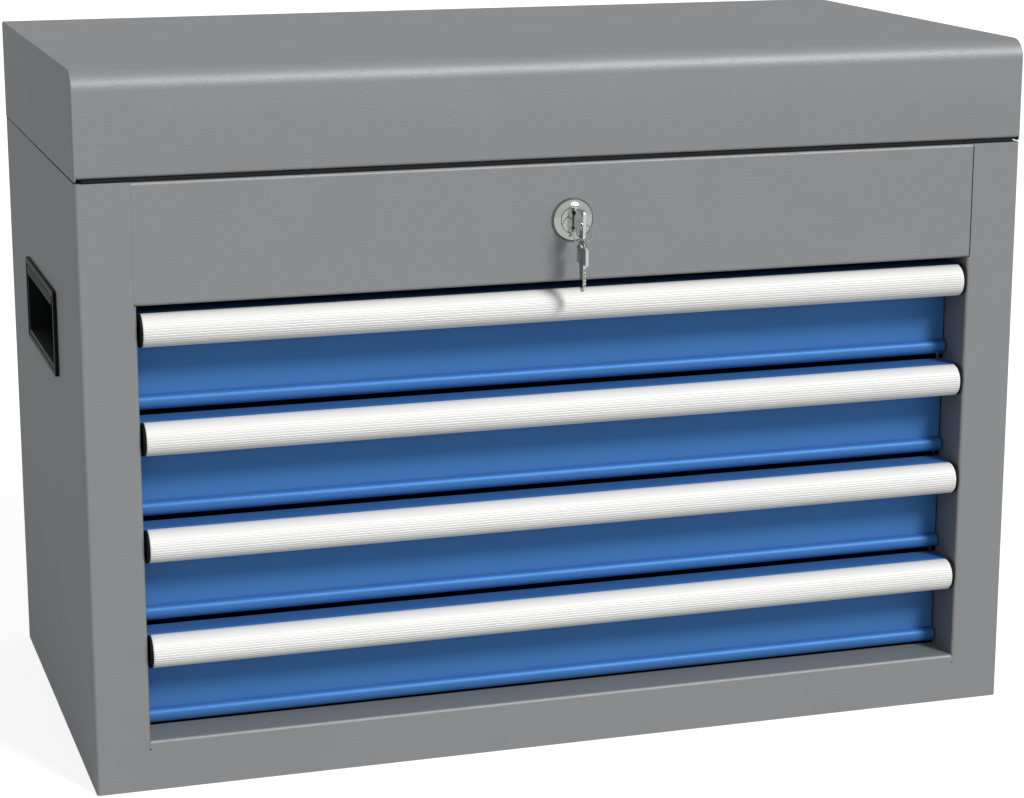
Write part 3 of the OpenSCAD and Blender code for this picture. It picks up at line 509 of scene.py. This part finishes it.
def polished_hard_chrome():
    """Ground and chromed steel rod: a mirror with grinding rings along it. They are about 0.1 mm
    apart, too fine to show, and are drawn 1 mm apart."""
    material, tree, place = start_finish("polished_hard_chrome")
    ground = add(tree, "Mapping", {"Vector": place, "Scale": (0.02, 0.02, 1)}).outputs[0]
    rings = add(tree, "TexNoise", {"Vector": ground, "Scale": 1000, "Detail": 2})
    gloss = add(tree, "MapRange", {"Value": rings.outputs[0], "To Min": 0.04, "To Max": 0.16})
    end_finish(tree, {"Base Color": srgb("#d9dbdd"), "Metallic": 1, "Roughness": gloss.outputs[0]})
    return material


dress(black_gloss_stoving_paint(), "left_strut_tube", "right_strut_tube")
dress(polished_hard_chrome(), "left_strut_rod", "right_strut_rod")


# Lock: a die-cast housing through the fascia, held by a nut, with a plug that turns a cam behind
# it. The housing's face is a dome on a conical rim, and the plug's front stands a little out of the
# dome's middle. Heights are from the fascia.
RIM_FOOT = 0.2  # height of the rim's upright foot
RIM_TILT = 58  # slope of the rim's cone in degrees
DOME_H = 4.0
DOME_BEND = 12  # radius of the dome's profile
DOME_TILT = (18.6, 38)  # degrees, from the plug's edge to the rim
DOME_EDGE = 0.4  # radius of the dome's edge at the rim
BORE_GAP = 0.06
BORE_CHAMFER = 0.1
PLUG_R = 8.5
PLUG_H = 5.0
PLUG_HEAD = 2.6
PLUG_EDGE = 0.15
SHANK_R = 6.05
SHANK_GAP = 0.1
SHANK_END = 0.3  # how far the shank stands out behind the housing
BARREL_R = 10
SLOT_HALF_W, SLOT_HALF_H = 1.2, 5.4
SLOT_CORNER = 0.4
SLOT_BEVEL_W, SLOT_BEVEL_H = 0.5, 0.4
SLOT_DEPTH = 14
STUD_HALF = 2.45
STUD_CORNER = 0.3
LOCK_STEPS = 16  # in a quarter of each round outline


def satin_nickel(name, colour):
    """Nickel plate: a pale grey metal, softly polished, duller over a die casting than over steel.
    Its polishing lines run upright. They are about 0.1 mm apart, too fine to show, and are drawn
    0.7 mm apart."""
    material, tree, place = start_finish(name)
    drawn = add(tree, "Mapping", {"Vector": place, "Scale": (1, 1, 0.08)}).outputs[0]
    lines = add(tree, "TexNoise", {"Vector": drawn, "Scale": 1400, "Detail": 3})
    skin = add(tree, "Bump", {"Strength": 0.3, "Distance": 0.00002, "Height": lines.outputs[0]})
    gloss = add(tree, "MapRange", {"Value": lines.outputs[0], "To Min": 0.08, "To Max": 0.16})
    end_finish(tree, {"Base Color": srgb(colour), "Metallic": 1, "Roughness": gloss.outputs[0],
                      "Normal": skin.outputs[0]})
    return material


nickel = satin_nickel("nickel_on_die_casting", "#a4a6a2")
dress(zinc_plate, "lock_nut", "lock_cam")
lock_low, lock_high = span("lock_housing")
lock_x, lock_z = (lock_low + lock_high)[[0, 2]] / 2
rim_r = (lock_high[2] - lock_low[2]) / 2
lock_end = lock_high[1]
fascia_face = span("fascia")[0][1]


def lock_circle(radius):
    """A circle about the lock's axis."""
    return circle(lock_x, lock_z, radius, LOCK_STEPS)


def bend(radius, start, stop, steps):
    """An arc in the lock's profile: how far out and how far down it lies from its highest point
    when it turns from one tilt to another, in degrees."""
    tilt = np.radians(np.linspace(start, stop, steps + 1))
    return radius * (np.sin(tilt) - np.sin(tilt[0])), radius * (np.cos(tilt[0]) - np.cos(tilt))


bore_r = PLUG_R + BORE_GAP
plug_face = fascia_face - PLUG_H
plug_back = plug_face + PLUG_HEAD
dome_out, dome_down = bend(DOME_BEND, *DOME_TILT, 10)
edge_out, edge_down = bend(DOME_EDGE, DOME_TILT[1], RIM_TILT, 4)
profile = [(bore_r + BORE_CHAMFER + out, fascia_face - DOME_H + down)
           for out, down in zip(dome_out, dome_down)]
shoulder_r, shoulder_y = profile[-1]
profile += [(shoulder_r + out, shoulder_y + down) for out, down in zip(edge_out[1:], edge_down[1:])]
housing_rows = [(lock_end, SHANK_R + SHANK_GAP), (lock_end, BARREL_R), (fascia_face, BARREL_R),
                (fascia_face, rim_r), (fascia_face - RIM_FOOT, rim_r)]
housing_rows += [(back, size) for size, back in profile[::-1]]
housing_rows += [(fascia_face - DOME_H + BORE_CHAMFER, bore_r), (plug_back + SHANK_GAP, bore_r),
                 (plug_back + SHANK_GAP, SHANK_R + SHANK_GAP)]
housing_rows = [(back, lock_circle(size)) for back, size in housing_rows]
housing = solid("lock_body", nickel, rows(1, *housing_rows), loop=True)
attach(housing, "cabinet")
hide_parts("lock_housing")

plug_high = span("lock_plug")[1]
stud = rounded((lock_x - STUD_HALF, lock_z - STUD_HALF),
               (lock_x + STUD_HALF, lock_z + STUD_HALF), STUD_CORNER, LOCK_STEPS)


def slot_outline(out):
    """The key slot in the plug's face, widened by out."""
    return rounded((lock_x - SLOT_HALF_W - out, lock_z - SLOT_HALF_H - out),
                   (lock_x + SLOT_HALF_W + out, lock_z + SLOT_HALF_H + out),
                   SLOT_CORNER + out, LOCK_STEPS)


shank_end = lock_end + SHANK_END
plug_rows = [(plug_high[1], stud), (shank_end, stud), (shank_end, lock_circle(SHANK_R)),
             (plug_back, lock_circle(SHANK_R)), (plug_back, lock_circle(PLUG_R))]
plug_rows += [(plug_face + down, lock_circle(PLUG_R - inward))
              for inward, down in quarter_turn(PLUG_EDGE)]
plug_rows += [(plug_face, slot_outline(SLOT_BEVEL_W)), (plug_face + SLOT_BEVEL_H, slot_outline(0)),
              (plug_face + SLOT_DEPTH, slot_outline(0))]
plug = solid("lock_cylinder", nickel, rows(1, *plug_rows))
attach(plug, "lock_plug")
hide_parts("lock_plug")


# Keys: stamped from 2 mm sheet and nickel plated, one in the lock, and a spare that hangs from a
# wire ring through both bows. Notches are cut into both edges of the blades.
KEY_EDGE = 0.35
BOW_LEN, BOW_W, BOW_CORNER = 14.6, 17, 2.5
BOW_TOP_HALF, BOW_SLOPE = 2, 5  # the spare's bow narrows to a flat top over this height
BLADE_W = 8.2
TIP = 2  # length of the blade's pointed tip
HOLE_R = 1.6
HOLE_FOOT = 0.7  # the hole's foot lies this far below the key's middle
RING_WIRE = 0.7
HANG_GAP = 0.1
NOTCH_DEPTHS = (1.0, 0.6, 1.2, 0.8, 1.1)
NOTCH_MARGIN = 1


def notched_edge(start, end, edge, inward):
    """A blade's edge with V-shaped cuts at even steps; inward points to the blade's middle."""
    step = (end - start) / (len(NOTCH_DEPTHS) + 1)
    points = []
    for i, depth in enumerate(NOTCH_DEPTHS):
        middle = start + step * (i + 1)
        points += [(middle - depth, edge), (middle, edge + inward * depth), (middle + depth, edge)]
    return points


def stamped_key(name, outline, hole, thickness):
    """A plate in the YZ plane: a filled flat curve of its outline and its hole in mm, thickened
    to both sides with rounded edges."""
    curve = bpy.data.curves.new(name, "CURVE")
    curve.dimensions, curve.fill_mode = "2D", "BOTH"
    curve.extrude, curve.bevel_depth = thickness / 2 - KEY_EDGE, KEY_EDGE
    curve.offset, curve.bevel_resolution = -KEY_EDGE, 2
    for points in (outline, circle(*hole, HOLE_R, 6)):
        line = curve.splines.new("POLY")
        line.points.add(len(points) - 1)
        flat = np.zeros((len(points), 4))
        flat[:, :2] = points
        line.points.foreach_set("co", flat.ravel())
        line.use_cyclic_u = True
    blank = bpy.data.objects.new(name + "_curve", curve)
    mesh = bpy.data.meshes.new_from_object(blank)
    mesh.name = name
    bpy.data.objects.remove(blank)
    places = np.zeros(len(mesh.vertices) * 3)
    mesh.vertices.foreach_get("co", places)
    places = places.reshape(-1, 3)[:, [2, 0, 1]] / 1000
    mesh.vertices.foreach_set("co", places.ravel())
    close_up(mesh, 40)
    return show(mesh, key_nickel)


key_nickel = satin_nickel("nickel_on_steel", "#b6b8b6")
key_low, key_high = span("key")
bow_end, blade_end = key_low[1] + BOW_LEN, key_high[1]
bow = rounded((key_low[1], key_low[2]), (bow_end, key_high[2]), BOW_CORNER)
blade_half = BLADE_W / 2
cut_start, cut_end = lock_low[1] + NOTCH_MARGIN, blade_end - TIP
key_outline = np.array([
    (bow_end, lock_z + blade_half), *bow, (bow_end, lock_z - blade_half),
    *notched_edge(cut_start, cut_end, lock_z - blade_half, 1),
    (cut_end, lock_z - blade_half), (blade_end, lock_z), (cut_end, lock_z + blade_half),
    *notched_edge(cut_start, cut_end, lock_z + blade_half, -1)[::-1]])
ring_low, ring_high = span("key_ring")
hole_y = (ring_low[1] + ring_high[1]) / 2
key_hole = (hole_y, lock_z - HOLE_FOOT + HOLE_R)
key = stamped_key("lock_key", key_outline, key_hole, key_high[0] - key_low[0])
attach(key, "key")
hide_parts("key")

dress(satin_nickel("nickel_on_wire", "#949693"), "key_ring")

spare_low, spare_high = span("spare_key")
shoulder = spare_high[2] - BOW_LEN
tip = spare_low[2]
bow_half = BOW_W / 2
bow_side = spare_high[2] - BOW_SLOPE
spare_bow = [(hole_y + BOW_TOP_HALF, spare_high[2]), (hole_y - BOW_TOP_HALF, spare_high[2]),
             (hole_y - bow_half, bow_side), (hole_y - bow_half, shoulder)]
spare_notches = notched_edge(tip + TIP, shoulder - NOTCH_MARGIN, 0, 1)
front_edge = [(hole_y - blade_half + inward, up) for up, inward in spare_notches[::-1]]
rear_edge = [(hole_y + blade_half - inward, up) for up, inward in spare_notches]
spare_outline = np.array([
    *spare_bow, (hole_y - blade_half, shoulder), *front_edge, (hole_y - blade_half, tip + TIP),
    (hole_y, tip), (hole_y + blade_half, tip + TIP), *rear_edge, (hole_y + blade_half, shoulder),
    (hole_y + bow_half, shoulder), (hole_y + bow_half, bow_side)])
spare_hole = (hole_y, ring_low[2] + RING_WIRE + HANG_GAP - HOLE_R)
spare = stamped_key("hanging_key", spare_outline, spare_hole, spare_high[0] - spare_low[0])
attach(spare, "spare_key")
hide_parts("spare_key")


# Drawers: a folded front with a lip, a grip flange and a rolled foot, on a folded box, all in blue
# powder coat. A hollow extruded grip with fine grooves is clipped on the flange and closed by two
# black end caps. Steel balls in cages run between the rails.
FRONT_BACK = 19  # from the front's foremost to the drawer's front plane
ROLL_OUT = 4.6
ROLL_H = 9.6
ROLL_FLAT = 0.2  # straight stretch between the roll's two folds
TIGHT_FOLD = SHEET / 2 + 0.1
LIP_FOLD = 2.5
FLANGE_H = 16
GRIP_WALL = 1.4
GRIP_BACK = 2
GRIP_CHAMFER = 0.4
GRIP_POINTS = 361
GROOVES = 13
GROOVE_DEPTH = 0.35
GROOVE_STEP = 9.2  # degrees, about 1.6 mm on the grip's face
GROOVE_START = 150
GROOVE_ENDS = (1.6, 1.2)  # the grooves run out between these distances from the grip's ends
CAP_PLUG = 6
CAP_GAP = 0.1
CAP_EDGE = 0.5


def satin_blue_powder_coat():
    """Smooth polyester powder with metallic flake, satin, with a faint orange peel of about 2 mm
    and a shade that drifts over 50 mm. Its highlights are blue, as on a metal."""
    material, tree, place = start_finish("satin_blue_powder_coat")
    peel = add(tree, "TexNoise", {"Vector": place, "Scale": 500, "Detail": 2})
    drift = add(tree, "TexNoise", {"Vector": place, "Scale": 20, "Detail": 2})
    skin = add(tree, "Bump", {"Strength": 0.35, "Distance": 0.00008, "Height": peel.outputs[0]})
    shade = add(tree, "Mix", {0: drift.outputs[0], 6: srgb("#3b6ba5"), 7: srgb("#3e6fa9")},
                data_type="RGBA")
    gloss = add(tree, "MapRange", {"Value": peel.outputs[0], "To Min": 0.44, "To Max": 0.54})
    end_finish(tree, {"Base Color": shade.outputs[2], "Metallic": 0.3,
                      "Roughness": gloss.outputs[0], "Specular IOR Level": 0.1,
                      "Normal": skin.outputs[0]})
    return material


def white_coated_aluminium():
    """Extruded aluminium with a satin white coat. Faint drawing lines run along it, really about
    0.2 mm apart, too fine to show, and drawn 0.8 mm apart."""
    material, tree, place = start_finish("white_coated_aluminium")
    drawn = add(tree, "Mapping", {"Vector": place, "Scale": (0.02, 1, 1)}).outputs[0]
    lines = add(tree, "TexNoise", {"Vector": drawn, "Scale": 1200, "Detail": 2})
    skin = add(tree, "Bump", {"Strength": 0.3, "Distance": 0.00003, "Height": lines.outputs[0]})
    shade = add(tree, "Mix", {0: lines.outputs[0], 6: srgb("#d8d8d6"), 7: srgb("#dddddb")},
                data_type="RGBA")
    end_finish(tree, {"Base Color": shade.outputs[2], "Roughness": 0.42, "Normal": skin.outputs[0]})
    return material


def grip_outline(centre, radius, back, grooved):
    """A circle cut off flat at the back, from its upper corner round the front to its lower one.
    With grooved, the radius dips by GROOVE_DEPTH at even steps over the lower front."""
    corner = np.arccos(back / radius)
    turn = np.linspace(corner, 2 * np.pi - corner, GRIP_POINTS)
    phase = (np.degrees(turn) - GROOVE_START) / GROOVE_STEP
    dips = np.clip(np.cos(2 * np.pi * phase), 0, 1) ** 2
    dips *= (phase > -0.5) & (phase < GROOVES - 0.5) & grooved
    reach = radius - GROOVE_DEPTH * dips
    return np.stack([centre[0] + reach * np.cos(turn), centre[1] + reach * np.sin(turn)], 1)


blue_coat = satin_blue_powder_coat()
white_grip = white_coated_aluminium()
for number in range(1, 5):
    body = f"drawer_{number}"
    low, high = span(f"{body}_front")
    plane = low[1] + FRONT_BACK + SHEET / 2
    flange = low[1] + SHEET / 2
    foot, lip = low[2] + SHEET / 2, high[2] - SHEET / 2
    path = [(high[1], foot), (plane - ROLL_OUT, foot), (plane - ROLL_OUT, foot + ROLL_H - SHEET),
            (plane, foot + ROLL_H - SHEET), (plane, lip), (flange, lip),
            (flange, high[2] - FLANGE_H)]
    roll_fold = ROLL_OUT - SHEET / 2 - ROLL_FLAT
    profile = folded_sheet(path, (roll_fold, roll_fold, TIGHT_FOLD, FOLD, LIP_FOLD))
    panel = solid(f"{body}_face", blue_coat, rows(0, (low[0], profile), (high[0], profile)))
    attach(panel, body)
    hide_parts(f"{body}_front")

    dress(blue_coat, f"{body}_box")
    mat = ribbed_mat(f"{body}_mat")
    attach(mat, body)
    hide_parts(f"{body}_mat")

    low, high = span(f"{body}_grip")
    radius = (high[2] - low[2]) / 2
    centre = (high[1] - GRIP_BACK, (low[2] + high[2]) / 2)
    end = high[0]
    plain = grip_outline(centre, radius, GRIP_BACK, False)
    grooved = grip_outline(centre, radius, GRIP_BACK, True)
    chamfer = grip_outline(centre, radius - GRIP_CHAMFER, GRIP_BACK - GRIP_CHAMFER, False)
    bore = grip_outline(centre, radius - GRIP_WALL, GRIP_BACK - GRIP_WALL, False)
    half = [(end, bore), (end, chamfer), (end - GRIP_CHAMFER, plain),
            (end - GROOVE_ENDS[1], plain), (end - GROOVE_ENDS[0], grooved)]
    steps = [(-x, outline) for x, outline in half] + half[::-1]
    grip = solid(f"{body}_pull", white_grip, rows(0, *steps), loop=True, sharp_angle=50)
    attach(grip, body)
    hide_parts(f"{body}_grip")

    outer = span(f"{body}_grip_caps")[1][0]
    snug = GRIP_WALL + CAP_GAP
    plug_in = grip_outline(centre, radius - snug, GRIP_BACK - snug, False)
    cap = [(end - CAP_PLUG, plug_in), (end, plug_in), (end, plain)]
    cap += [(outer - down, grip_outline(centre, radius - inward, GRIP_BACK - inward, False))
            for inward, down in quarter_turn(CAP_EDGE)]
    caps = solid(f"{body}_end_caps", abs_black, rows(0, *cap), rows(0, *cap) * (-1, 1, 1))
    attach(caps, body)
    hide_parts(f"{body}_grip_caps")

    dress(zinc_plate, f"{body}_inner_rails", f"{body}_ball_cages")


# Floor and light: a pale floor under an even white surround, and one soft lamp from the upper
# right in front of the box. The camera and mirrors see the surround and the floor as white, and
# the floor keeps the box's shadow.
SURROUND = 0.49
LAMP = 2.8
LAMP_FROM = (0.35, -0.70, 0.627)
LAMP_WIDTH = 14  # degrees
FLOOR_HALF = 20  # metres
FLOOR_GLOW = 0.8

floor_mesh = bpy.data.meshes.new("floor")
corners = [(x * FLOOR_HALF, y * FLOOR_HALF, 0) for x, y in ((-1, -1), (1, -1), (1, 1), (-1, 1))]
floor_mesh.from_pydata(corners, [], [(0, 1, 2, 3)])
pale, tree, _ = start_finish("pale_floor")
rays = add(tree, "LightPath").outputs
seen = add(tree, "Math", {0: rays["Is Camera Ray"], 1: rays["Is Glossy Ray"]}, operation="MAXIMUM")
glow = add(tree, "Math", {0: seen.outputs[0], 1: FLOOR_GLOW}, operation="MULTIPLY")
end_finish(tree, {"Base Color": srgb("#989898"), "Roughness": 0.9,
                  "Emission Color": srgb("#ffffff"), "Emission Strength": glow.outputs[0]})
show(floor_mesh, pale)

world = bpy.context.scene.world or bpy.data.worlds.new("surround")
bpy.context.scene.world = world
world.use_nodes = True
tree = world.node_tree
tree.nodes.clear()
rays = add(tree, "LightPath").outputs
seen = add(tree, "Math", {0: rays["Is Camera Ray"], 1: rays["Is Glossy Ray"]}, operation="MAXIMUM")
seen = add(tree, "Math", {0: seen.outputs[0], 1: rays["Is Transmission Ray"]}, operation="MAXIMUM")
strength = add(tree, "MapRange", {"Value": seen.outputs[0], "To Min": SURROUND, "To Max": 1})
sky = add(tree, "Background", {"Color": srgb("#ffffff"), "Strength": strength.outputs[0]})
add(tree, "OutputWorld", {"Surface": sky.outputs[0]})

lamp = bpy.data.objects.new("lamp", bpy.data.lights.new("lamp", "SUN"))
lamp.data.energy = LAMP
lamp.data.angle = np.radians(LAMP_WIDTH)
lamp.rotation_euler = Vector(LAMP_FROM).to_track_quat("Z", "Y").to_euler()
bpy.context.scene.collection.objects.link(lamp)

bpy.context.scene.view_settings.view_transform = "Standard"
